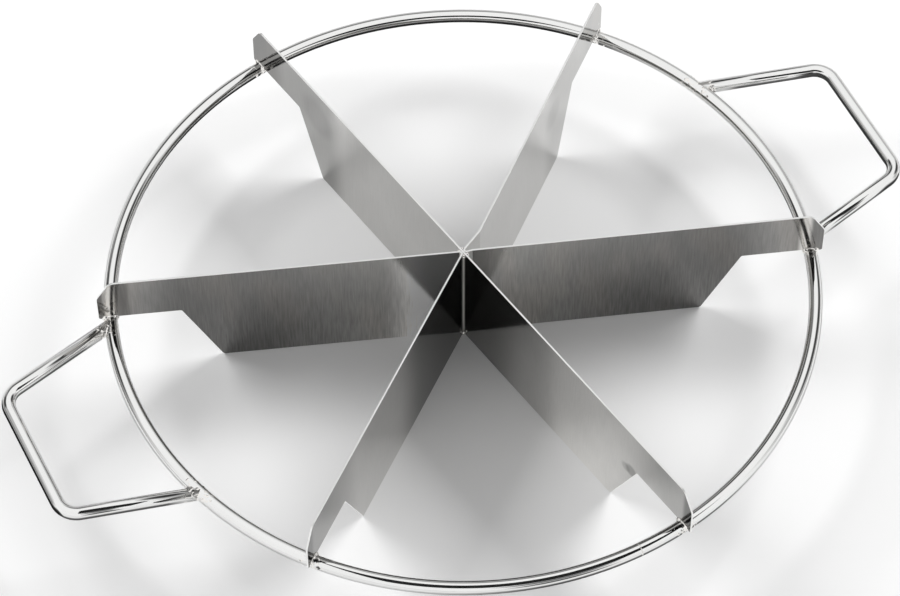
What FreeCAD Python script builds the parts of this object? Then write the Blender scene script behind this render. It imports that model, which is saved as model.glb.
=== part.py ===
import FreeCAD
import Part
import math
import os

# Cake portion marker: a wire ring with two wire handles, crossed by three strips of sheet.
# One strip runs straight across and the other two are bent to a V, so that six wings
# leave the hub at equal angles.
#
# Millimetres and degrees. The origin is on the hub's axis, on the plane that the wings
# stand on. +Z is up, and +X runs from the left handle to the right one.

# Wire
ring_diameter = 260.0      # to the middle of the wire
wire = 5.0                 # the ring and the handles are the same wire

# Wings
sheet = 0.7                # thickness of the strips
blade_height = 50.0        # from the foot to the top edge, beside the hub
outer_height = 20.0        # of the shallow stretch that spans the rim of the tin
outer_length = 26.0        # from the step to the middle of the ring's wire
step_run = 14.0            # how far the step slopes inwards on its way down
tab = 1.9                  # what stands past the outside of the ring
tab_drop = 0.8             # how far the tab hooks down behind the ring
seat_depth = 0.6           # how deep the ring's wire sits in the edge of the sheet
seat_clearance = 0.02
corner_width = 5.0         # the slanted top corner of each end
corner_drop = 8.5
corner_round = 3.5         # radius at both ends of the slanted corner
blunt_corner = 1.5         # radius of the foot's corner
sharp_corner = 0.8         # radius of the outline's inner corner and of the tab

# Layout in plan
blade_angle = 59.6         # between the two wings of a bent strip
layout_angle = 10.5        # the straight strip stands at a right angle to this bearing
right_skew = 0.2           # how far the right bent strip is turned off it
left_skew = -0.4           # the same for the left bent strip
bend_inside = 0.5          # inner radius of the bends in the sheet
nose_half_angle = 18.5     # the right strip is squeezed narrower where it was welded
nose_flat_near = 2.0       # flat flank of that nose on the side of the nearer wing
nose_flat_far = 9.5        # the same on the other side

# Handles
handle_reach = 41.0        # from the ring to the grip, wire middle to wire middle
handle_grip = 56.2         # length of the grip between its bends, at their corners
handle_flare = 14.9        # how far each arm turns outwards towards the ring
handle_bend = 8.0          # radius of the bends, to the middle of the wire
right_shift = 3.4          # how far towards +Y the right handle was welded off the middle
left_shift = 0.6           # the same for the left handle

# Welds
arm_weld = 3.3             # radius of the bead round the foot of an arm
tip_weld = 1.6             # radius of the beads under the end of a wing
hub_weld = 0.9             # radius of the tack welds in the corners at the hub
hub_weld_depth = 1.0       # from the strips' edges to the middle of a tack

# What follows from the sizes above
ring_radius = ring_diameter / 2
wire_radius = wire / 2
outer_bottom = blade_height - outer_height
ring_height = outer_bottom + seat_depth - wire_radius
tab_bottom = outer_bottom - tab_drop
tip_reach = ring_radius + wire_radius + tab
step_reach = ring_radius - outer_length
deep_reach = step_reach - step_run
bend_radius = bend_inside + sheet / 2
right_turn = layout_angle + right_skew
left_turn = layout_angle + left_skew + 180.0
straight_turn = layout_angle + 90.0

UP = FreeCAD.Vector(0, 0, 1)
HUB = FreeCAD.Vector(0, 0, 0)


def polar(radius, bearing, height=0.0):
    """A point at a distance and a bearing from the hub's axis."""
    angle = math.radians(bearing)
    return FreeCAD.Vector(radius * math.cos(angle), radius * math.sin(angle), height)


def unit(vector):
    return FreeCAD.Vector(vector).normalize()


def rounded(points, radii):
    """Edges along the points, with an arc of the given radius at each inner point."""
    edges = []
    start = points[0]
    for before, corner, after, radius in zip(points, points[1:], points[2:], radii):
        inwards = unit(corner - before)
        outwards = unit(after - corner)
        half_turn = inwards.getAngle(outwards) / 2
        run = radius * math.tan(half_turn)
        if run < 1e-6:
            edges.append(Part.makeLine(start, corner))
            start = corner
            continue
        middle_way = unit(outwards - inwards)
        centre = corner + middle_way * (radius / math.cos(half_turn))
        first = corner - inwards * run
        last = corner + outwards * run
        edges.append(Part.makeLine(start, first))
        edges.append(Part.Arc(first, centre - middle_way * radius, last).toShape())
        start = last
    edges.append(Part.makeLine(start, points[-1]))
    return edges


def ring_wire(radius):
    """The ring, or with a larger radius the room that it needs."""
    return Part.makeTorus(ring_radius, radius, FreeCAD.Vector(0, 0, ring_height), UP)


def wing(start, crossing):
    """The flat stretch of a strip, from a point in plan to where it crosses the ring."""
    run = crossing - start
    inner_end = ring_radius - run.Length
    outline = [
        (inner_end, blade_height, 0.0),
        (inner_end, 0.0, 0.0),
        (deep_reach, 0.0, blunt_corner),
        (step_reach, outer_bottom, sharp_corner),
        (ring_radius, outer_bottom, 0.0),
        (ring_radius, tab_bottom, 0.0),
        (tip_reach, tab_bottom, sharp_corner),
        (tip_reach, blade_height - corner_drop, corner_round),
        (tip_reach - corner_width, blade_height, corner_round),
        (inner_end, blade_height, 0.0),
    ]
    points = [FreeCAD.Vector(along - inner_end, -sheet / 2, height) for along, height, _ in outline]
    edges = rounded(points, [radius for _, _, radius in outline[1:-1]])
    plate = Part.Face(Part.Wire(edges)).extrude(FreeCAD.Vector(0, sheet, 0))
    plate.rotate(HUB, UP, math.degrees(math.atan2(run.y, run.x)))
    plate.translate(start)
    return plate


def bends(edges):
    """The stretch of a strip between its wings, along a path of lines and arcs in plan."""
    start = edges[0].valueAt(edges[0].FirstParameter)
    ahead = edges[0].tangentAt(edges[0].FirstParameter)
    aside = UP.cross(ahead) * (sheet / 2)
    foot = [start - aside, start + aside]
    corners = foot + [point + UP * blade_height for point in reversed(foot)]
    section = Part.Face(Part.makePolygon(corners + corners[:1]))
    return Part.Wire(edges).makePipe(section)


def seated(strip):
    """The finished strip, with the seats for the ring cut into its edges."""
    return strip.cut(ring_wire(wire_radius + seat_clearance)).removeSplitter().Solids[0]


def straight_strip():
    wings = [wing(HUB, polar(ring_radius, straight_turn + side)) for side in (0.0, 180.0)]
    return seated(wings[0].fuse(wings[1]))


def bent_strip(turn, half_angle, flats):
    """A V whose nose touches the straight strip and whose wings end on the ring.

    half_angle is half of the nose's angle, and flats are the lengths of its two flanks
    before the wings spring open to blade_angle. With no flats the V is plain.
    """
    nose_run = bend_radius / math.tan(math.radians(half_angle))
    nose = polar(sheet + bend_radius - bend_radius / math.sin(math.radians(half_angle)), turn)
    crossings = [polar(ring_radius, turn + side * blade_angle / 2) for side in (-1, 1)]
    corners = [nose]
    if flats:
        flanks = [polar(nose_run + flat, turn + side * half_angle) for side, flat in zip((-1, 1), flats)]
        corners = [nose + flanks[0], nose, nose + flanks[1]]
    path = rounded([crossings[0]] + corners + [crossings[1]], [bend_radius] * len(corners))
    middle = path[1:-1]
    wings = [
        wing(middle[0].valueAt(middle[0].FirstParameter), crossings[0]),
        wing(middle[-1].valueAt(middle[-1].LastParameter), crossings[1]),
    ]
    return seated(bends(middle).fuse(wings))


def handle_points(shift):
    """The corners of a handle's middle line in plan, on the +X side, from foot to foot."""
    points = []
    for side in (1, -1):
        corner = FreeCAD.Vector(ring_radius + handle_reach, shift + side * handle_grip / 2, 0)
        inwards = polar(1.0, side * (180.0 - handle_flare))
        halfway = -corner.dot(inwards)
        run = halfway - math.sqrt(halfway ** 2 - corner.dot(corner) + ring_radius ** 2)
        points += [corner + inwards * run, corner][::side]
    return points


def handle(shift):
    """One handle, on the +X side: two arms and a grip, coped to the ring's surface."""
    points = [point + UP * ring_height for point in handle_points(shift)]
    section = Part.Face(Part.Wire(Part.makeCircle(wire_radius, points[0], points[1] - points[0])))
    bent = Part.Wire(rounded(points, [handle_bend] * 2)).makePipe(section)
    return bent.cut(ring_wire(wire_radius + seat_clearance)).Solids[0]


def beads(centres, radius, neighbours, axes=None):
    """Round beads of weld metal, cut back to the surfaces of what they join.

    The axes point the beads' poles into the neighbours, where they are cut away.
    """
    metal = []
    for centre, axis in zip(centres, axes or [UP] * len(centres)):
        bead = Part.makeSphere(radius, centre, axis)
        for neighbour in neighbours:
            bead = bead.cut(neighbour)
        metal += bead.Solids
    return Part.makeCompound(metal)


def arm_welds():
    """Where the arms' middle lines leave the ring's surface, and which way they go there."""
    centres = []
    axes = []
    for shift, half_round in ((right_shift, 0.0), (-left_shift, 180.0)):
        points = handle_points(shift)
        turned = FreeCAD.Rotation(UP, half_round)
        for foot, corner in ((points[0], points[1]), (points[3], points[2])):
            outwards = unit(corner - foot)
            run = wire_radius / math.cos(outwards.getAngle(foot))
            centres.append(turned.multVec(foot + outwards * run + UP * ring_height))
            axes.append(turned.multVec(outwards))
    return centres, axes


def tip_weld_centres():
    """Beside the ring's wire, under the shallow stretch and under the tab of each wing."""
    turns = [straight_turn, straight_turn + 180.0]
    for turn in (left_turn, right_turn):
        turns += [turn - blade_angle / 2, turn + blade_angle / 2]
    height = (outer_bottom + ring_height) / 2
    reaches = (ring_radius - wire_radius, ring_radius + wire_radius)
    return [polar(reach, turn, height) for turn in turns for reach in reaches]


def hub_weld_centres():
    """In the corners between the straight strip and the noses, at the top and the bottom."""
    corner_half = (90.0 - blade_angle / 2) / 2
    aside = (sheet + hub_weld) / 2 / math.sin(math.radians(corner_half))
    heights = (hub_weld_depth, blade_height - hub_weld_depth)
    turns = [straight_turn + side * corner_half + end for end in (0.0, 180.0) for side in (-1, 1)]
    return [polar(aside, turn, height) for turn in turns for height in heights]


def build():
    ring = ring_wire(wire_radius)
    right_handle = handle(right_shift)
    left_handle = handle(-left_shift)
    left_handle.rotate(HUB, UP, 180.0)
    straight_blade = straight_strip()
    left_blade = bent_strip(left_turn, blade_angle / 2, None)
    right_blade = bent_strip(right_turn, nose_half_angle, (nose_flat_near, nose_flat_far))
    strips = [straight_blade, left_blade, right_blade]
    wires = [ring, left_handle, right_handle]
    arm_centres, arm_axes = arm_welds()
    handle_welds = beads(arm_centres, arm_weld, wires + strips, arm_axes)
    return {
        "ring": ring,
        "left_handle": left_handle,
        "right_handle": right_handle,
        "straight_blade": straight_blade,
        "left_bent_blade": left_blade,
        "right_bent_blade": right_blade,
        "handle_welds": handle_welds,
        "tip_welds": beads(tip_weld_centres(), tip_weld, wires + strips + [handle_welds]),
        "hub_welds": beads(hub_weld_centres(), hub_weld, strips),
    }


os.makedirs("parts", exist_ok=True)
for name, shape in build().items():
    shape.exportStep("parts/" + name + ".step")
    print(name, len(shape.Solids), "solids", round(shape.Volume, 1), "mm3", shape.isValid())
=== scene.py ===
# %% [markdown]
# # Cake portion marker
#
# The real object is a ring of steel wire with a wire handle on each side. Three strips of
# thin sheet cross it and meet at a hub in the middle, so that six wings leave the hub.
# The frame below is the measured model of it. This notebook dresses that model: it sets up
# the camera, the floor and the lamps, then gives each piece its form and its finish.

# %% Load the frame
import math

import bmesh
import bpy
from mathutils import Matrix, Vector


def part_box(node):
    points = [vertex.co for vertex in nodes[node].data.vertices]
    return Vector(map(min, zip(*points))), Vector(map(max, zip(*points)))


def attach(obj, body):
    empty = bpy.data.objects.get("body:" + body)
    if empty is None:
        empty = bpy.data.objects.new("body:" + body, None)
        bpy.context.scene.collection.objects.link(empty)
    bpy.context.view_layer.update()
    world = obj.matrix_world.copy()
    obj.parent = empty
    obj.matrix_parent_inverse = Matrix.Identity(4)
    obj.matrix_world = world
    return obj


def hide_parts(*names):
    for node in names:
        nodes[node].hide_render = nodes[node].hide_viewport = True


MM = 0.001

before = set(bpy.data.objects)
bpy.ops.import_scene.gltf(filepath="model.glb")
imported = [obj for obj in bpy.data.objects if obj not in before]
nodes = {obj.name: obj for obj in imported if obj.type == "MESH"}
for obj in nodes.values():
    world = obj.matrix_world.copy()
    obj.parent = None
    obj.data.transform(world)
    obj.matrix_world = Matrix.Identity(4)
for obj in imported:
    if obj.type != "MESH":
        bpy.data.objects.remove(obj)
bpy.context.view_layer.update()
for name, node in sorted(nodes.items()):
    print(name, "with", len(node.data.polygons), "faces")

# %% [markdown]
# ## The camera
#
# A round ring seen at a slant is drawn as an ellipse, and how far its middle stands off the
# middle of that ellipse tells how near the camera is. The camera's place was worked out from
# that in the photo. It looks from bearing -116 degrees at 54 degrees above the floor,
# through a long lens. The small shifts slide the picture without turning the camera.

# %% Camera
RING_MIDDLE = Vector((0.0, 0.0, 28.1 * MM))
PHOTO_TURN = math.radians(26.2)      # of the photo's upward direction from +Y
ELEVATION = math.radians(54.097)
DISTANCE = 1417.7 * MM
PHOTO_WIDTH = 900
FOCAL_PIXELS = 3840.4
SHIFT_PIXELS = (-13.08, -11.4)

level = math.cos(ELEVATION)
towards_camera = Vector((-math.sin(PHOTO_TURN) * level, -math.cos(PHOTO_TURN) * level, math.sin(ELEVATION)))
camera_data = bpy.data.cameras.new("photo_camera")
camera_data.sensor_width = 36.0
camera_data.lens = FOCAL_PIXELS / PHOTO_WIDTH * camera_data.sensor_width
camera_data.shift_x = SHIFT_PIXELS[0] / PHOTO_WIDTH
camera_data.shift_y = SHIFT_PIXELS[1] / PHOTO_WIDTH
camera_data.clip_start = 0.05
camera_data.clip_end = 50.0
camera = bpy.data.objects.new("photo_camera", camera_data)
camera.location = RING_MIDDLE + towards_camera * DISTANCE
camera.rotation_euler = (-towards_camera).to_track_quat("-Z", "Y").to_euler()
bpy.context.scene.collection.objects.link(camera)
bpy.context.scene.camera = camera
print("camera at", [round(v, 3) for v in camera.location], "lens", round(camera_data.lens, 1), "mm")

# %% [markdown]
# ## Shader maths
#
# A material is a graph of nodes. Written out one by one, the nodes for a sum or a product
# hide what is worked out. This class stands for the tree, and one method of it adds a node
# of any type, with its settings and its sockets in one line.

# %% A tree of nodes
class Graph:
    """The node tree of one material or of the world."""

    def __init__(self, tree):
        self.tree = tree
        self.tree.nodes.clear()

    def node(self, kind, settings=None, **inputs):
        """Adds a node, sets its settings first and then the values or links of its sockets.

        A socket is given by its name, with _ for a space, or by _ and its number.
        """
        made = self.tree.nodes.new(kind)
        for key, value in (settings or {}).items():
            if key == "stops":
                self.set_stops(made.color_ramp.elements, value)
            else:
                setattr(made, key, value)
        for key, value in inputs.items():
            socket = made.inputs[int(key[1:])] if key[0] == "_" else made.inputs[key.replace("_", " ")]
            if isinstance(value, Value):
                self.tree.links.new(value.socket, socket)
            else:
                socket.default_value = value
        return made

    def set_stops(self, ramp, stops):
        while len(ramp) < len(stops):
            ramp.new(0.5)
        for stop, (place, colour) in zip(ramp, stops):
            stop.position = place
            stop.color = colour

    def value(self, made, output=0):
        """What comes out of a node, by the output's name or number."""
        return Value(self, made.outputs[output])


print("a tree has", [name for name in vars(Graph) if name[0] != "_"])

# %% [markdown]
# ## Values with operators
#
# A second, small class wraps what comes out of a node. It gives Python's own operators to
# it, so that 1 - mask * 0.5 adds two Math nodes. Only sums with such values make nodes.
# Numbers alone are worked out in Python.

# %% A value with operators
class Value:
    """A socket that carries a number, with the operators that the finishes use."""

    def __init__(self, graph, socket):
        self.graph = graph
        self.socket = socket

    def maths(self, operation, *values):
        """Adds a Math node with the given values, in their order."""
        inputs = {"_%d" % place: value for place, value in enumerate(values)}
        return self.graph.value(self.graph.node("ShaderNodeMath", {"operation": operation}, **inputs))

    def __add__(self, other):
        return self.maths("ADD", self, other)

    __radd__ = __add__

    def __sub__(self, other):
        return self.maths("SUBTRACT", self, other)

    def __rsub__(self, other):
        return self.maths("SUBTRACT", other, self)

    def __mul__(self, other):
        return self.maths("MULTIPLY", self, other)

    __rmul__ = __mul__

    def __truediv__(self, other):
        return self.maths("DIVIDE", self, other)

    def __rtruediv__(self, other):
        return self.maths("DIVIDE", other, self)

    def __abs__(self):
        return self.maths("ABSOLUTE", self)

    def root(self):
        return self.maths("SQRT", self)


print("operators:", [name for name in vars(Value) if name.startswith("__") and name != "__init__"])

# %% [markdown]
# ## Nodes that return
#
# A few nodes come back in every finish: the split of a place into its three numbers, a soft
# step from 0 to 1, and a plain matt grey for what stands round the object. They add to the
# tree that is called graph at the time.

# %% Common nodes
def grey(value):
    return (value, value, value, 1.0)


def new_material(name):
    """A material and its empty tree."""
    made = bpy.data.materials.new(name)
    made.use_nodes = True
    return made, Graph(made.node_tree)


def matt(name, value):
    made, tree = new_material(name)
    paint = tree.node("ShaderNodeBsdfDiffuse", Color=grey(value))
    tree.node("ShaderNodeOutputMaterial", Surface=tree.value(paint))
    print(name, "is matt, with the grey", value)
    return made


def split(vector):
    """The three numbers of a vector."""
    parts = graph.node("ShaderNodeSeparateXYZ", Vector=vector)
    return [graph.value(parts, axis) for axis in "XYZ"]


def smooth(value, low, high):
    """0 below low, 1 above high, and an S-curve between."""
    made = graph.node("ShaderNodeMapRange", {"interpolation_type": "SMOOTHSTEP"}, Value=value,
                      From_Min=low, From_Max=high)
    return graph.value(made)


print("helpers:", [helper.__name__ for helper in (grey, new_material, matt, split, smooth)])

# %% [markdown]
# ## The floor
#
# The photo is cut out on white. So the part stands on white paper, which could be a curved
# backdrop, but the camera looks down so steeply that a flat sheet fills the picture. The
# wings rest on it with their burrs, a hair above the paper, so that there is a dark line
# under them and no light.

# %% Floor
FLOOR_WHITE = 0.92
FLOOR_SIDE = 12.0
FLOOR_GAP = 0.05 * MM


def panel(name, width, depth, colour):
    """A flat sheet of paper, which stands round the object and isn't part of it."""
    mesh = bmesh.new()
    bmesh.ops.create_grid(mesh, x_segments=1, y_segments=1, size=0.5)
    bmesh.ops.scale(mesh, vec=(width, depth, 1.0), verts=mesh.verts)
    data = bpy.data.meshes.new(name)
    mesh.to_mesh(data)
    mesh.free()
    data.materials.append(colour)
    made = bpy.data.objects.new(name, data)
    bpy.context.scene.collection.objects.link(made)
    return made


floor = panel("floor", FLOOR_SIDE, FLOOR_SIDE, matt("floor_white", FLOOR_WHITE))
floor.location.z = -FLOOR_GAP

# %% [markdown]
# ## Dark gaps in the sky
#
# Bright metal shows little of its own colour. It shows what stands round it, and a studio is
# white paper with dark gaps between. Where those gaps were is a guess from the dark lines
# along the wires in the photo. Each is a soft round spot, given by the way to it, because a
# line on a wire is only the mirror image of a spot, squeezed thin.

# %% Gaps in the sky
GAP_EDGES = (1.4, 0.6)    # where a gap starts and where it is full, in radii of the gap
SKY_GAPS = (              # bearing in the photo, elevation and radius in degrees, depth
    (148, 30, 13, 0.95),
    (113, 33, 11, 0.85),
    (129, 34, 9, 0.60),
    (100, 33, 12, 0.70),
    (155, 2, 20, 0.50),
    (33, 29, 15, 0.92),
    (295, 8, 12, 0.90),
    (296, 36, 12, 0.80),
)


def photo_direction(bearing, elevation):
    """A direction given as in the photo's plan, where 90 degrees is straight up the photo."""
    turned = math.radians(bearing) - PHOTO_TURN
    up = math.radians(elevation)
    return Vector((math.cos(turned) * math.cos(up), math.sin(turned) * math.cos(up), math.sin(up)))


def gap_in_sky(bearing, elevation, radius, depth):
    """A soft round place where the studio is dark behind the white paper."""
    place = graph.node("ShaderNodeVectorMath", {"operation": "DOT_PRODUCT"}, _0=direction,
                       _1=photo_direction(bearing, elevation))
    edges = [math.cos(math.radians(radius * part)) for part in GAP_EDGES]
    return 1 - smooth(graph.value(place, "Value"), *edges) * depth


print(len(SKY_GAPS), "gaps in the sky")

# %% [markdown]
# ## The sky of the studio
#
# A picture of a room could be wrapped round the scene, but here the world is worked out:
# white overhead, and greyer towards the horizon behind the object. Matt surfaces get less
# of this sky than the metal mirrors, so that the shadows from the lamps still show.

# %% World
SKY_WHITE = 1.0
SKY_ON_FLOOR = 0.50       # what is left of the sky's strength on matt surfaces
SKY_STOPS = ((0.0, 0.50), (0.47, 0.55), (0.60, 0.95), (1.0, 1.0))     # height, and its grey
SKY_NEAR = 0.97           # its grey on the camera's side, at any height
NEAR_EDGE = (0.1, -0.2)   # how far back that side starts, and where it is reached

world = bpy.data.worlds.new("studio")
world.use_nodes = True
graph = Graph(world.node_tree)
direction = graph.value(graph.node("ShaderNodeTexCoord"), "Generated")
x, y, height = split(direction)
stops = [(at, grey(value)) for at, value in SKY_STOPS]
sky = graph.value(graph.node("ShaderNodeValToRGB", {"stops": stops}, Fac=height))
backwards = x * math.sin(PHOTO_TURN) + y * math.cos(PHOTO_TURN)
sky = sky + smooth(backwards, *NEAR_EDGE) * (SKY_NEAR - sky)
for gap in SKY_GAPS:
    sky = sky * gap_in_sky(*gap)
diffuse_ray = graph.value(graph.node("ShaderNodeLightPath"), "Is Diffuse Ray")
strength = SKY_WHITE * (1 - diffuse_ray * (1 - SKY_ON_FLOOR))
background = graph.node("ShaderNodeBackground", Color=sky, Strength=strength)
graph.node("ShaderNodeOutputWorld", Surface=graph.value(background))
bpy.context.scene.world = world
print("sky with", len(graph.tree.nodes), "nodes")

# %% [markdown]
# ## The lamps
#
# Upright sheet mirrors the floor that lies before it, so its tone is the tone of that floor.
# Two wide lamps behind the object light the floor that the far and near wings mirror, and
# leave the floor before the left and right wings in their own shadow. The metal doesn't
# mirror the lamps themselves, because the photo shows no bright panels in it.

# %% Lamps
LAMP_DISTANCE = 1.6
LAMP_ELEVATION = 40
LAMP_SIZE = (0.9, 0.6)
LAMPS = {"left_back_lamp": (152, 13.0), "right_back_lamp": (37, 16.0)}     # bearing, watts

for name, (bearing, power) in LAMPS.items():
    data = bpy.data.lights.new(name, "AREA")
    data.shape = "RECTANGLE"
    data.size, data.size_y = LAMP_SIZE
    data.energy = power
    lamp = bpy.data.objects.new(name, data)
    lamp.location = photo_direction(bearing, LAMP_ELEVATION) * LAMP_DISTANCE
    lamp.rotation_euler = (-lamp.location).to_track_quat("-Z", "Y").to_euler()
    lamp.visible_glossy = False
    bpy.context.scene.collection.objects.link(lamp)
    print(name, "of", power, "W at", [round(v, 2) for v in lamp.location])
bpy.context.scene.view_settings.view_transform = "Standard"

# %% [markdown]
# ## The dark card
#
# Photographers hold a black card over bright wire, because without a dark line the wire
# loses its roundness against white paper. This one hangs on the camera's side, above the
# near arc of the ring. Only reflections see it: it throws no shadow and the camera looks
# through it.

# %% Dark card
CARD_PLACE = Vector((90.0, -237.0, 370.0)) * MM     # in the photo's plan
CARD_WIDTH = 460.0 * MM
CARD_DEPTH = 325.0 * MM
CARD_BLACK = 0.02

card = panel("dark_card", CARD_WIDTH, CARD_DEPTH, matt("black_card", CARD_BLACK))
card.location = Matrix.Rotation(-PHOTO_TURN, 3, "Z") @ CARD_PLACE
card.rotation_euler.z = -PHOTO_TURN
card.visible_camera = False
card.visible_diffuse = False
card.visible_shadow = False

# %% [markdown]
# ## Helpers for the pieces
#
# Every new piece is drawn in a bmesh and then made an object that rides on the body and stands for a node
# of the frame, which it hides. The sizes of the wire and the ring are read off the frame, so that the
# pieces fit it.

# %% Piece helpers
ring_low, ring_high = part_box("ring")
WIRE_RADIUS = (ring_high.z - ring_low.z) / 2
RING_RADIUS = (ring_high.x - ring_low.x) / 2 - WIRE_RADIUS
RING_HEIGHT = (ring_high.z + ring_low.z) / 2
AXIS = Vector((0.0, 0.0, 1.0))
SAME_PLACE = 0.002 * MM      # points nearer than this are one point


def keep_piece(name, mesh, node):
    """Makes a finished bmesh an object that rides on the body and stands for a CAD node."""
    bmesh.ops.recalc_face_normals(mesh, faces=mesh.faces)
    data = bpy.data.meshes.new(name)
    mesh.to_mesh(data)
    mesh.free()
    data.shade_smooth()
    piece = bpy.data.objects.new(name, data)
    bpy.context.scene.collection.objects.link(piece)
    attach(piece, "root")
    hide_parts(node)
    print(name, "has", len(data.polygons), "faces")
    return piece


print("wire of", round(WIRE_RADIUS * 2 / MM, 2), "mm, ring of", round(RING_RADIUS * 2 / MM, 2), "mm")

# %% [markdown]
# ## Helpers for round wire
#
# A wire starts as a circle across its middle line. From there it is carried round an axis,
# as round a former, or pushed straight on, as through a die. Each helper returns the edges
# where it ends, so that the next one can go on from them.

# %% Wire helpers
ROUND_STEPS = 48             # sides of the wire's section


def wire_section(mesh, centre, ahead, radius=WIRE_RADIUS):
    """A ring of edges round a point of a wire's middle line."""
    turned = ahead.to_track_quat("Z", "Y").to_matrix().to_4x4()
    place = Matrix.Translation(centre) @ turned
    made = bmesh.ops.create_circle(mesh, segments=ROUND_STEPS, radius=radius, matrix=place)
    return list(dict.fromkeys(edge for vert in made["verts"] for edge in vert.link_edges))


def spun(mesh, section, centre, axis, angle, steps):
    """Carries a ring of edges round an axis and returns where it ends."""
    made = bmesh.ops.spin(mesh, geom=section, cent=centre, axis=axis, angle=angle, steps=steps)
    return [item for item in made["geom_last"] if isinstance(item, bmesh.types.BMEdge)]


def drawn_out(mesh, section, run):
    """Extrudes a ring of edges along a straight run and returns where it ends."""
    made = bmesh.ops.extrude_edge_only(mesh, edges=section)["geom"]
    moved = [item for item in made if isinstance(item, bmesh.types.BMVert)]
    bmesh.ops.translate(mesh, vec=run, verts=moved)
    return [item for item in made if isinstance(item, bmesh.types.BMEdge) and item.is_boundary]


def close_ends(mesh):
    bmesh.ops.holes_fill(mesh, edges=[edge for edge in mesh.edges if edge.is_boundary])


print("a side of the wire is", round(math.tau * WIRE_RADIUS / ROUND_STEPS / MM, 2), "mm wide")

# %% [markdown]
# ## Wires: the ring
#
# The ring is one length of bright drawn wire, rolled to a circle and closed. A torus from
# the Add menu would do, but a small circle that is spun round the axis is how any turned
# form is made, and it takes its radii from the frame. It replaces the frame's coarser ring,
# because polished wire shows every facet in its reflections.

# %% Ring
RING_STEPS = 360

mesh = bmesh.new()
section = wire_section(mesh, Vector((RING_RADIUS, 0.0, RING_HEIGHT)), Vector((0.0, 1.0, 0.0)))
bmesh.ops.spin(mesh, geom=section, cent=Vector(), axis=AXIS, angle=math.tau, steps=RING_STEPS,
               use_merge=True)
bmesh.ops.remove_doubles(mesh, verts=mesh.verts, dist=SAME_PLACE)
ring = keep_piece("ring_wire", mesh, "ring")

# %% [markdown]
# ## Wires: the handles
#
# Each handle is a piece of the same wire with two bends. On the bench the wire is clamped
# and pulled round a former, and the mesh is made in the same order: a section at the foot
# is drawn out along the arm, spun round the bend, drawn out along the grip, and so on. A
# curve with a bevel would be quicker, but it leaves its bends to the spline, and a real
# former gives true arcs.

# %% Handles
HANDLE_REACH = 41.0 * MM
HANDLE_GRIP = 56.2 * MM
HANDLE_FLARE = math.radians(14.9)
HANDLE_BEND = 8.0 * MM
BEND_STEPS = 24
HANDLE_SHIFTS = {"right": 3.4 * MM, "left": 0.6 * MM}
HALF_ROUNDS = {"right": 0.0, "left": math.pi}


def handle_line(shift, half_round):
    """The corners of a handle's middle line, from foot to foot."""
    line = []
    for side in (1, -1):
        corner = Vector((RING_RADIUS + HANDLE_REACH, shift + side * HANDLE_GRIP / 2, 0.0))
        inwards = Vector((-math.cos(HANDLE_FLARE), side * math.sin(HANDLE_FLARE), 0.0))
        halfway = -corner.dot(inwards)
        run = halfway - math.sqrt(halfway ** 2 - corner.length_squared + RING_RADIUS ** 2)
        line += [corner + inwards * run, corner][::side]
    turned = Matrix.Rotation(half_round, 3, AXIS)
    return [turned @ point + AXIS * RING_HEIGHT for point in line]


def bent_wire(line, bend):
    """A wire along the corners of a line, bent round a former of one radius."""
    mesh = bmesh.new()
    section = wire_section(mesh, line[0], line[1] - line[0])
    start = line[0]
    for before, corner, after in zip(line, line[1:], line[2:]):
        inwards = (corner - before).normalized()
        outwards = (after - corner).normalized()
        half_turn = inwards.angle(outwards) / 2
        run = bend * math.tan(half_turn)
        section = drawn_out(mesh, section, corner - inwards * run - start)
        centre = corner + (outwards - inwards).normalized() * bend / math.cos(half_turn)
        axis = inwards.cross(outwards).normalized()
        section = spun(mesh, section, centre, axis, half_turn * 2, BEND_STEPS)
        start = corner + outwards * run
    drawn_out(mesh, section, line[-1] - start)
    close_ends(mesh)
    return mesh


handle_lines = {}
handles = []
for side, shift in HANDLE_SHIFTS.items():
    signed = shift * math.cos(HALF_ROUNDS[side])
    handle_lines[side] = handle_line(signed, HALF_ROUNDS[side])
    mesh = bent_wire(handle_lines[side], HANDLE_BEND)
    handles.append(keep_piece(side + "_handle_wire", mesh, side + "_handle"))

# %% [markdown]
# ## Strips
#
# The strips are stamped from thin sheet and bent. Their outline, their bends and the seats
# for the ring are right in the frame, so a copy of each is taken. A frame mesh is loose
# triangles: they are merged, flat areas are joined to single faces, and the stamped edges
# get a small round, as deburring leaves it. It catches a thin line of light, which no bump
# map could do at an outline.

# %% Strips
EDGE_ROUND = 0.13 * MM
FLAT = math.radians(0.5)
SHARP = math.radians(40)


def strip(name, node):
    mesh = bmesh.new()
    mesh.from_mesh(nodes[node].data)
    bmesh.ops.remove_doubles(mesh, verts=mesh.verts, dist=SAME_PLACE)
    bmesh.ops.dissolve_limit(mesh, angle_limit=FLAT, verts=mesh.verts, edges=mesh.edges)
    rim = [edge for edge in mesh.edges if edge.is_manifold and edge.calc_face_angle() > SHARP]
    bmesh.ops.bevel(mesh, geom=rim, offset=EDGE_ROUND, segments=2, profile=0.5, affect="EDGES",
                    material=-1)
    piece = keep_piece(name, mesh, node)
    flatten = piece.modifiers.new("flat faces stay flat", "WEIGHTED_NORMAL")
    flatten.weight = 100
    return piece


strips = [
    strip("straight_strip", "straight_blade"),
    strip("left_bent_strip", "left_bent_blade"),
    strip("right_bent_strip", "right_bent_blade"),
]

# %% [markdown]
# ## Weld metal
#
# Melted filler wire runs into the corner between two pieces and freezes there as a soft,
# slightly rippled fillet. Modelling that skin by hand is slow. Here rough stubs of what
# meets are put together with round beads, fused to one skin by a voxel remesh, and smoothed:
# smoothing sinks the convex stubs below the real pieces and fills the hollow corners, so
# that only the fillets come out.

# %% Melting
RIPPLE_WIDTH = 1.3 * MM


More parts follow.
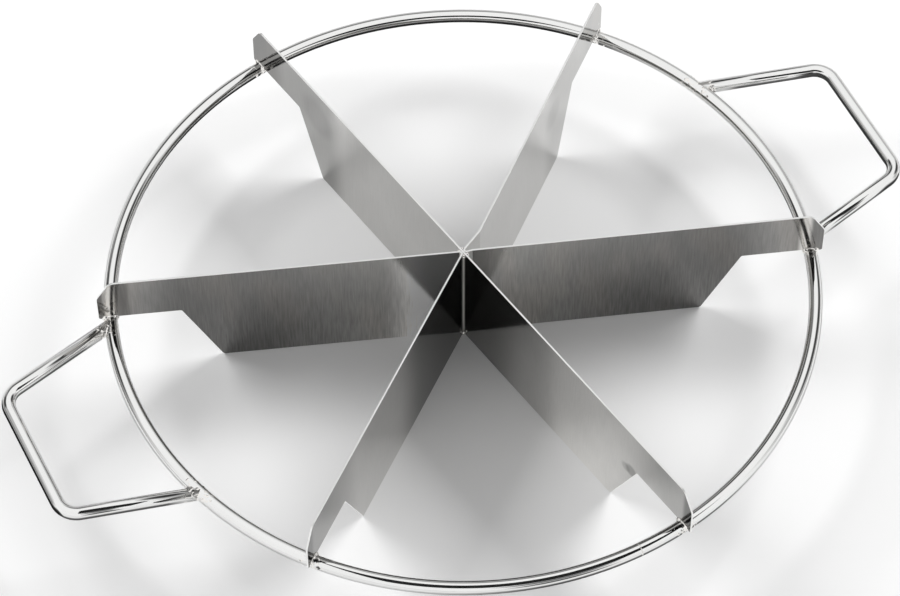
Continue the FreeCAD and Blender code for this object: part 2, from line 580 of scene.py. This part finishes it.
def melted(name, mesh, node, voxel, rounds, ripple):
    """Fuses rough shapes to one skin that has settled into the corners."""
    data = bpy.data.meshes.new(name + "_rough")
    mesh.to_mesh(data)
    mesh.free()
    rough = bpy.data.objects.new(name + "_rough", data)
    bpy.context.scene.collection.objects.link(rough)
    fuse = rough.modifiers.new("fuse", "REMESH")
    fuse.mode = "VOXEL"
    fuse.voxel_size = voxel
    settle = rough.modifiers.new("settle", "SMOOTH")
    settle.factor = 0.5
    settle.iterations = rounds
    waves = bpy.data.textures.new(name + "_waves", "CLOUDS")
    waves.noise_scale = RIPPLE_WIDTH
    freeze = rough.modifiers.new("ripples", "DISPLACE")
    freeze.texture = waves
    freeze.strength = ripple
    settled = rough.evaluated_get(bpy.context.evaluated_depsgraph_get())
    skin = bpy.data.meshes.new_from_object(settled)
    bpy.data.objects.remove(rough)
    mesh = bmesh.new()
    mesh.from_mesh(skin)
    return keep_piece(name, mesh, node)


print("ripples", round(RIPPLE_WIDTH / MM, 1), "mm wide")

# %% [markdown]
# ## Rough stubs for the welds
#
# The rough shapes need only be right near the weld. So the ring is a short piece of itself,
# made as the whole ring is, and a drop of filler is a round bead.

# %% Stub helpers
STUB_STEPS = 8


def around_axis(radius, bearing, height):
    return Vector((radius * math.cos(bearing), radius * math.sin(bearing), height))


def ring_stub(mesh, bearing, half_length):
    """A short piece of the ring, on both sides of a bearing."""
    half_angle = half_length / RING_RADIUS
    first = bearing - half_angle
    ahead = around_axis(1.0, first + math.pi / 2, 0.0)
    section = wire_section(mesh, around_axis(RING_RADIUS, first, RING_HEIGHT), ahead)
    spun(mesh, section, Vector(), AXIS, half_angle * 2, STUB_STEPS)
    close_ends(mesh)


def bead(mesh, centre, radius):
    place = Matrix.Translation(centre)
    bmesh.ops.create_icosphere(mesh, subdivisions=3, radius=radius, matrix=place)


print("stubs in", STUB_STEPS, "steps")

# %% [markdown]
# ## Welds at the arms
#
# Each arm of a handle meets the ring end on, and the welder ran filler all round its foot.
# The stubs are the ring and the arm themselves, with one fat drop between them.

# %% Welds at the arms
ARM_STUB = 7.0 * MM
ARM_BEAD = 2.5 * MM

mesh = bmesh.new()
for line in handle_lines.values():
    for foot, corner in ((line[0], line[1]), (line[3], line[2])):
        outwards = (corner - foot).normalized()
        ring_stub(mesh, math.atan2(foot.y, foot.x), ARM_STUB)
        drawn_out(mesh, wire_section(mesh, foot, outwards), outwards * ARM_STUB)
        close_ends(mesh)
        bead(mesh, foot + outwards * WIRE_RADIUS, ARM_BEAD)
arm_welds = melted("arm_welds", mesh, "handle_welds", voxel=0.3 * MM, rounds=14, ripple=0.5 * MM)

# %% [markdown]
# ## Welds at the tips of the wings
#
# The ring lies in a seat under the end of each wing, held by a drop of weld inside the ring
# and another outside. A thin block stands for the wing. It is thinner than the sheet, so
# that its skin stays hidden and only the drops show.

# %% Welds at the tips of the wings
SHEET = 0.7 * MM
WING_BEARINGS = [math.radians(angle) for angle in (-19.1, 40.5, 100.5, 160.3, 219.9, 280.5)]
TIP_STUB = 5.0 * MM
TIP_BEAD = 1.3 * MM
BEAD_ASIDE = WIRE_RADIUS * 0.8
BEAD_UP = WIRE_RADIUS * 0.5
BLOCK = Matrix.Diagonal((WIRE_RADIUS * 2, SHEET * 0.8, TIP_STUB * 2 - WIRE_RADIUS, 1.0))

mesh = bmesh.new()
for bearing in WING_BEARINGS:
    ring_stub(mesh, bearing, TIP_STUB)
    middle = Matrix.Translation(around_axis(RING_RADIUS, bearing, RING_HEIGHT + TIP_STUB))
    bmesh.ops.create_cube(mesh, size=1.0, matrix=middle @ Matrix.Rotation(bearing, 4, "Z") @ BLOCK)
    for side in (-1, 1):
        reach = RING_RADIUS + side * BEAD_ASIDE
        bead(mesh, around_axis(reach, bearing, RING_HEIGHT + BEAD_UP), TIP_BEAD)
tip_welds = melted("tip_welds_melted", mesh, "tip_welds", voxel=0.22 * MM, rounds=10, ripple=0.25 * MM)

# %% [markdown]
# ## Tacks at the hub, and the seam of the ring
#
# The strips are held at the hub by small tacks at the top and the foot of its corners, and
# the ring's ends meet in a butt weld that was filed almost flush. The tacks are the
# frame's, and the seam is a short collar, a hair thicker than the wire. Both need only a
# light smoothing.

# %% Tacks and seam
SEAM_BEARING = math.radians(272.3)
SEAM_HALF = 0.28 * MM
SEAM_HEIGHT = 0.07 * MM

mesh = bmesh.new()
mesh.from_mesh(nodes["hub_welds"].data)
bmesh.ops.remove_doubles(mesh, verts=mesh.verts, dist=SAME_PLACE)
along = around_axis(1.0, SEAM_BEARING + math.pi / 2, 0.0)
start = around_axis(RING_RADIUS, SEAM_BEARING, RING_HEIGHT) - along * SEAM_HALF
collar = wire_section(mesh, start, along, WIRE_RADIUS + SEAM_HEIGHT)
drawn_out(mesh, collar, along * SEAM_HALF * 2)
close_ends(mesh)
small_welds = melted("small_welds", mesh, "hub_welds", voxel=0.1 * MM, rounds=3, ripple=0.12 * MM)

# %% [markdown]
# ## Steel
#
# All of the metal is one bright steel. It differs by how it was worked: rolled, sheared,
# drawn or melted. So one shader serves them all, and each finish gives it a colour, a
# roughness and a fine relief. Everything is placed by Object coordinates, which stay with
# the piece from every side.

# %% Steel helpers
def object_place():
    return graph.value(graph.node("ShaderNodeTexCoord"), "Object")


def stretched(position, scale):
    return graph.value(graph.node("ShaderNodeMapping", Vector=position, Scale=scale))


def noise(position, scale, detail=2.0):
    made = graph.node("ShaderNodeTexNoise", {"noise_dimensions": "3D"}, Vector=position, Scale=scale,
                      Detail=detail)
    return graph.value(made)


def rgb(red, green, blue):
    return graph.value(graph.node("ShaderNodeCombineColor", Red=red, Green=green, Blue=blue))


def steel(base, roughness, bump, distance, edge=1.0, metallic=1.0):
    """Bright metal. The edge value is how much it mirrors where the surface turns away."""
    lifted = graph.node("ShaderNodeBump", Height=bump, Strength=1.0, Distance=distance)
    shader = graph.node("ShaderNodeBsdfPrincipled", Base_Color=base, Metallic=metallic,
                        Roughness=roughness, Specular_Tint=grey(edge), Normal=graph.value(lifted))
    graph.node("ShaderNodeOutputMaterial", Surface=graph.value(shader))
    print("finish with", len(graph.tree.nodes), "nodes")


print("steel:", steel.__doc__)

# %% [markdown]
# ## Sheet: where a point lies
#
# The sheet's tone is painted brighter in some places and darker in others, as painted reflection and shade.
# To say where, a point needs an address: how far it lies out from the hub, in radii of the ring, and on
# which wings. The near pair, the far pair and the two side wings are told apart by their bearing. That
# could be three materials, but then the tones would break where two strips meet.

# %% Sheet: where a point lies
FRONT_BEARING = math.radians(250.2)      # midway between the two near wings
PAIR_EDGE = (0.25, 0.75)                 # where a pair of wings starts, as a cosine

sheet_finish, graph = new_material("bright_sheet")
position = object_place()
x, y, z = split(position)
x = x * (1 / RING_RADIUS)
y = y * (1 / RING_RADIUS)
squared = x * x + y * y + 1e-6
out = squared.root()
ahead = x * math.cos(FRONT_BEARING) + y * math.sin(FRONT_BEARING)
right = x * math.cos(FRONT_BEARING + math.pi / 2) + y * math.sin(FRONT_BEARING + math.pi / 2)
facing = ahead / out
sideways = right / out
front = smooth(facing, *PAIR_EDGE)
back = smooth(0 - facing, *PAIR_EDGE)
side = 1 - front - back


def beyond(near, far):
    """0 up to the first distance from the hub and 1 from the second one on."""
    return smooth(out, near, far)


def within(near, far):
    """1 up to the first distance from the hub and 0 from the second one on."""
    return 1 - smooth(out, near, far)


print("addresses take", len(graph.tree.nodes), "nodes")

# %% [markdown]
# ## Sheet: painted reflections and shade
#
# Each wing is painted brighter in some places and darker in others, mostly as painted reflection and shade:
# the floor that the sheet mirrors, lit or in the wings' shadow, with some uneven polish among it. It could
# be painted on an image, but here each line is one area of one kind of wing, as a factor on its basic tone.
# The picture was compared with the photo at thirteen places along each wing to set these factors.

# %% Sheet: painted reflections and shade
# Basic tones of the side, near and far wings, painted for the floor each mirrors: the side wings darkest,
# as painted reflection of the shadowed floor before them.
SIDE_PAINTED_TONE = 0.22
FRONT_PAINTED_TONE = 0.58
BACK_PAINTED_TONE = 0.56

to_right = smooth(sideways, 0.2, 0.5)
to_left = smooth(0 - sideways, 0.2, 0.5)
side_painted_reflections = (
    # Brighter over the inner half
    2.1 - beyond(0.15, 0.55),
    # Brighter at the ring
    1 + beyond(0.80, 0.92) * 0.20,
    # Duller at the right tip
    1 - beyond(0.93, 0.98) * smooth(right, 0.0, 0.9) * 0.30,
    # Brighter at the hub, and more so on the left
    1 + within(0.10, 0.24) * (1 - sideways * 0.8),
    # Duller at the left tip
    1 - beyond(0.935, 0.955) * smooth(0 - right, 0.5, 0.8) * 0.40,
    # Duller over the inner half of the right wing
    1 - within(0.40, 0.55) * smooth(sideways, 0.5, 1.0) * 0.16,
    # Duller from the middle on, and less so near the ring
    1 - beyond(0.40, 0.65) * 0.18 + beyond(0.75, 0.90) * 0.15,
)
front_painted_reflections = (
    # Dark at the hub: painted shade
    0.35 + beyond(0.12, 0.50) * 0.9,
    # Duller towards the ring
    1 - beyond(0.70, 0.95) * 0.60,
    # Brighter on the right than on the left
    1 + right * 0.4,
    # Duller over the inner part of the left one
    1 - within(0.28, 0.45) * smooth(0 - sideways, 0.0, 0.4) * 0.54,
    # Brighter on the right one, over its inner part and round its middle
    1 + to_right * (within(0.24, 0.36) * 0.36 + beyond(0.38, 0.46) * within(0.60, 0.74) * 0.16),
    # Duller over the outer part of the left one
    1 - beyond(0.70, 0.80) * to_left * 0.14,
    # Dark past the ring: painted shadow
    1 - beyond(0.99, 1.01) * 0.6,
)
back_painted_reflections = (
    # Duller over the outer half, and less so on the right
    1 - beyond(0.56, 0.66) * (0.38 - right * 0.25),
    # Duller once more at the ring, and less so on the right
    1 - beyond(0.86, 0.94) * (0.30 - right * 0.30),
)
side_reflection_paint = math.prod((SIDE_PAINTED_TONE, *side_painted_reflections))
front_reflection_paint = math.prod((FRONT_PAINTED_TONE, *front_painted_reflections))
back_reflection_paint = math.prod((BACK_PAINTED_TONE, *back_painted_reflections))
tone = side * side_reflection_paint + front * front_reflection_paint + back * back_reflection_paint
print(len(side_painted_reflections) + len(front_painted_reflections) + len(back_painted_reflections), "areas")

# %% [markdown]
# ## Sheet: brushing
#
# The strips were brushed across before they were bent, and the side wings show it as fine
# upright lines, strongest near the foot. An image of brushed steel would have to be laid out
# on every face, but noise that is drawn out along the height makes such lines without that.
# Softer noise gives clouds in the polish, and a faint warm tint in places.

# %% Sheet: brushing
GRAIN_SCALE = 9000.0       # noise cells to a metre, here and below
GRAIN_STRETCH = (1.0, 1.0, 0.02)
BRUSH_SCALE = 1900.0
BRUSH_STRETCH = (1.0, 1.0, 0.06)
BRUSH_AT_FOOT = 0.85       # how strongly the lines show on the side wings
BRUSH_LOST = 0.45          # how much of that is lost towards the top edge
BRUSH_ELSEWHERE = 0.15
BRUSH_FADES = 45.0 * MM
CLOUD_SCALE = 30.0
CLOUD_DEPTH = 0.2
WARM_SCALE = 55.0
WARM_STRETCH = (1.0, 1.0, 0.4)
WARM_EDGE = (0.48, 0.66)
WARM_LIFT = 0.10

grain = noise(stretched(position, GRAIN_STRETCH), GRAIN_SCALE, 1.0)
streaks = noise(stretched(position, BRUSH_STRETCH), BRUSH_SCALE, 3.0)
clouds = noise(position, CLOUD_SCALE)
brushing = side * (BRUSH_AT_FOOT - smooth(z, 0.0, BRUSH_FADES) * BRUSH_LOST) + BRUSH_ELSEWHERE
tone = tone * (1 - CLOUD_DEPTH / 2 + clouds * CLOUD_DEPTH) * (1 + (streaks - 0.5) * brushing)
warm = smooth(noise(stretched(position, WARM_STRETCH), WARM_SCALE), *WARM_EDGE)
warm = warm * (side + back * beyond(0.86, 0.94))
tone = tone * (1 + warm * WARM_LIFT)
print("brush lines", round(1 / BRUSH_SCALE / MM, 2), "mm wide")

# %% [markdown]
# ## Sheet: painted dark reflections
#
# A few soft dark spots are painted on the far wings and on the near right one, most of them near the step
# of the outline: painted reflections of shadow. They could be painted on an image, but four round spots
# placed by bearing, reach and height are enough, and they can be moved by changing a number.

# %% Sheet: painted dark reflections
PAINTED_REFLECTION_SPOTS = (      # bearing in degrees; reach, height and radius in mm; depth
    (280.5, 100.8, 27.8, 4.0, 0.40),
    (280.5, 97.8, 27.0, 3.0, 0.25),
    (100.5, 92.0, 36.0, 12.0, 0.18),
    (40.5, 84.0, 34.0, 9.0, 0.14),
)


def painted_reflection_spot(bearing, reach, height, radius):
    """1 in the middle of a painted dark reflection on a wing, and 0 outside it."""
    place = around_axis(reach * MM, math.radians(bearing), height * MM)
    away = graph.node("ShaderNodeVectorMath", {"operation": "DISTANCE"}, _0=position, _1=place)
    return 1 - smooth(graph.value(away, "Value"), radius * 0.5 * MM, radius * MM)


# Painted reflections of shadow, as dark spots on the sheet.
for *spot, depth in PAINTED_REFLECTION_SPOTS:
    tone = tone * (1 - painted_reflection_spot(*spot) * depth)
print(len(PAINTED_REFLECTION_SPOTS), "painted_reflection_spots")

# %% [markdown]
# ## Sheet: bright bands
#
# Two places are brighter than the rest. Where the side wings cross the ring, a narrow bright band is
# painted on the sheet: a painted reflection of the ring. And right at the hub is a thin white line from top
# to foot: it is rough and no mirror, so it is less metallic there.

# %% Sheet: bright bands and the finish
RING_REFLECTION_TONE = 0.70
RING_REFLECTION_EDGE = (0.006, 0.024)      # half the width of the band, in ring radii
RING_REFLECTION_SHIFT = 0.020              # how far inside the ring the right wing's band lies
RUN_TONE = 0.80
RUN_EDGE = (0.009, 0.012)
RUN_ROUGH = 0.35
RUN_DULL = 0.8
GREEN_SHARE = 0.99                # of the red, and less where the sheet is warm
BLUE_SHARE = 0.965
WARM_GREEN = 0.02
WARM_BLUE = 0.035
MIRROR_ROUGH = 0.05
GRAIN_ROUGH = 0.05
CLOUD_ROUGH = 0.03
GRAIN_RELIEF = 0.003 * MM

off_ring = out - 1.0 + smooth(right, 0.5, 0.9) * RING_REFLECTION_SHIFT
# Painted reflection of the ring, on the side wings where they cross it.
painted_ring_reflection = (1 - smooth(abs(off_ring), *RING_REFLECTION_EDGE)) * side
tone = tone + painted_ring_reflection * (RING_REFLECTION_TONE - tone)
# A thin white line at the hub, from top to foot, rough and less metallic.
hub_line = within(*RUN_EDGE)
tone = tone + hub_line * (RUN_TONE - tone)
colour = rgb(tone, tone * (GREEN_SHARE - warm * WARM_GREEN), tone * (BLUE_SHARE - warm * WARM_BLUE))
roughness = MIRROR_ROUGH + grain * GRAIN_ROUGH + clouds * CLOUD_ROUGH + hub_line * RUN_ROUGH
steel(colour, roughness, grain, GRAIN_RELIEF, metallic=1 - hub_line * RUN_DULL)

# %% [markdown]
# ## Sheared edges
#
# The press shears the sheet and leaves a torn, whitish edge, which shines from every side.
# White paint would be as light, but it would never glint. So the edge gets a nearly white
# metal that is rough enough to spread the light, with fine scratches.

# %% Finish of the sheared edges
EDGE_COLOUR = (0.95, 0.95, 0.94, 1.0)
EDGE_ROUGH = 0.34
SCRATCH_SCALE = 5000.0
SCRATCH_ROUGH = 0.1
SCRATCH_RELIEF = 0.02 * MM

edge_finish, graph = new_material("sheared_edge")
scratches = noise(object_place(), SCRATCH_SCALE)
steel(EDGE_COLOUR, EDGE_ROUGH + scratches * SCRATCH_ROUGH, scratches, SCRATCH_RELIEF)

# %% [markdown]
# ## Drawn wire
#
# Wire comes out of its die with a skin that mirrors like glass. Its upper side is bright and its lower side
# is painted dark, as painted reflection of a dark floor under it, so the tone is a step round the wire's
# section. Two materials on the upper and the lower faces would make such a step too, but a hard one. On a
# few stretches the lower side is painted bright as well, as painted reflection of lit floor, and on one it
# is painted darker still, as painted shade for the shaded floor inside the ring.

# %% Drawn wire: which stretch
PAINTED_BRIGHT_UNDERSIDES = ((188.8, 0.35, 0.75), (18.8, 0.90, 0.98), (318.8, 0.86, 0.97))
PAINTED_SHADOW_STRETCH = (83.8, 0.30, 0.60)      # bearing, and where it starts and is full, in radii
HANDLES_START = (1.10, 1.20)             # squares of ring radii
GRIP = (RING_RADIUS + HANDLE_REACH) / RING_RADIUS

wire_finish, graph = new_material("bright_wire")
position = object_place()
x, y, z = split(position)
x = x * (1 / RING_RADIUS)
y = y * (1 / RING_RADIUS)
squared = x * x + y * y
on_ring = 1 - smooth(squared, *HANDLES_START)
inner_half = 1 - smooth(squared, 0.990, 1.005)


def stretch(bearing, low, high):
    """1 on the stretch of the ring that lies this way from the hub, and 0 elsewhere."""
    angle = math.radians(bearing)
    return smooth(x * math.cos(angle) + y * math.sin(angle), low, high)


# Painted reflection: the lower side is painted bright on some stretches, for lit floor, and darker on one,
# as painted shade.
painted_bright_underside = sum(stretch(*part) for part in PAINTED_BRIGHT_UNDERSIDES) * on_ring
painted_underside_shadow = stretch(*PAINTED_SHADOW_STRETCH) * inner_half
# Painted shade on the left sides of the grips, where the step is also set higher.
left_grip = smooth(0 - x, GRIP, GRIP + 0.010)
right_grip = smooth(x, 1.20, 1.26) * (1 - smooth(x, GRIP - 0.009, GRIP))
painted_grip_shade = left_grip + right_grip * 0.7
print(len(PAINTED_BRIGHT_UNDERSIDES), "cleaned stretches, grips at", round(GRIP, 3), "ring radii")

# %% [markdown]
# ## Drawn wire: the step round the section
#
# The painted step of shade sits a little above the wire's middle. On the left side of each grip it sits
# higher still, as in the photo, as painted shade on that side. The relief is the faint grain of the die.

# %% Finish of the wire
PAINTED_UNDERSIDE_TONE = 0.14
HIGH_TONE = 0.90
PAINTED_STEP_EDGE = (0.10, 0.36)      # height over the wire's middle, in wire radii
GRIP_SHADE_LIFT = 0.40
EDGE_MIRROR = 0.3
BRIGHT_UNDERSIDE_LIFT = 0.66
PAINTED_SHADE_DROP = 0.11
WIRE_ROUGH = 0.04
PATCH_ROUGH = 0.05
PATCH_DROP = 0.06
DIE_RELIEF = 0.002 * MM
WIRE_BLUE = 0.99                # of the red and the green

die_grain = noise(position, 2500.0)
patches = noise(position, 60.0)
height = (z - RING_HEIGHT) * (1 / WIRE_RADIUS)
# Painted shade: the lower side of the wire is painted dark and the upper side bright.
painted_bright_top = smooth(height - painted_grip_shade * GRIP_SHADE_LIFT, *PAINTED_STEP_EDGE)
underside_paint = PAINTED_UNDERSIDE_TONE + painted_bright_underside * BRIGHT_UNDERSIDE_LIFT - painted_grip_shade * PAINTED_SHADE_DROP - painted_underside_shadow * PAINTED_SHADE_DROP
tone = underside_paint + painted_bright_top * (HIGH_TONE - underside_paint - patches * PATCH_DROP)
colour = rgb(tone, tone, tone * WIRE_BLUE)
steel(colour, WIRE_ROUGH + patches * PATCH_ROUGH, die_grain, DIE_RELIEF, EDGE_MIRROR)

# %% [markdown]
# ## Weld metal: the finish
#
# Frozen weld is bright where it ran clean, with dark specks of scale that the brush missed.
# They could be modelled, but they are so small that a change of tone is enough. The specks
# are the high part of a noise, cut off sharply, and they are rough as well.

# %% Finish of the weld metal
WELD_TONE = 0.90
SPECK_DEPTH = 0.78
SPECK_EDGE = (0.60, 0.68)
WELD_ROUGH = 0.20
SPECK_ROUGH = 0.4
RIPPLE_RELIEF = 0.08 * MM
WELD_GREEN = 0.98               # of the red
WELD_BLUE = 0.95

weld_finish, graph = new_material("weld_metal")
position = object_place()
ripples = noise(position, 900.0)
specks = smooth(noise(position, 420.0, 4.0), *SPECK_EDGE)
tone = WELD_TONE - specks * SPECK_DEPTH
colour = rgb(tone, tone * WELD_GREEN, tone * WELD_BLUE)
steel(colour, WELD_ROUGH + specks * SPECK_ROUGH, ripples, RIPPLE_RELIEF)

# %% [markdown]
# ## Finishes on the pieces
#
# Wires and welds have one finish each. A strip has two: its faces get the sheet's, and its
# top edges and the ends of the wings get the sheared edge's. Its feet rest on the floor in
# the dark, and keep the sheet's. The faces are told apart by the way they point, which
# holds for any outline, and a list of face numbers wouldn't.

# %% Finishes on the pieces
WELL_OUT = 50 * MM      # from here on, a face that points outwards ends a wing
RIM_TILT = 0.25         # how much of a rim's normal points up or outwards


def is_rim(face):
    """True for the top edges and the ends of a strip, and not for its sides and its feet."""
    outwards = Vector((face.center.x, face.center.y, 0.0))
    at_end = outwards.length > WELL_OUT and face.normal.dot(outwards.normalized()) > RIM_TILT
    return face.normal.z > RIM_TILT or at_end


for piece in [ring, *handles]:
    piece.data.materials.append(wire_finish)
for piece in [arm_welds, tip_welds, small_welds]:
    piece.data.materials.append(weld_finish)
for piece in strips:
    piece.data.materials.clear()
    piece.data.materials.append(sheet_finish)
    piece.data.materials.append(edge_finish)
    for face in piece.data.polygons:
        face.material_index = int(is_rim(face))
    print(piece.name, "has", sum(face.material_index for face in piece.data.polygons), "rim faces")
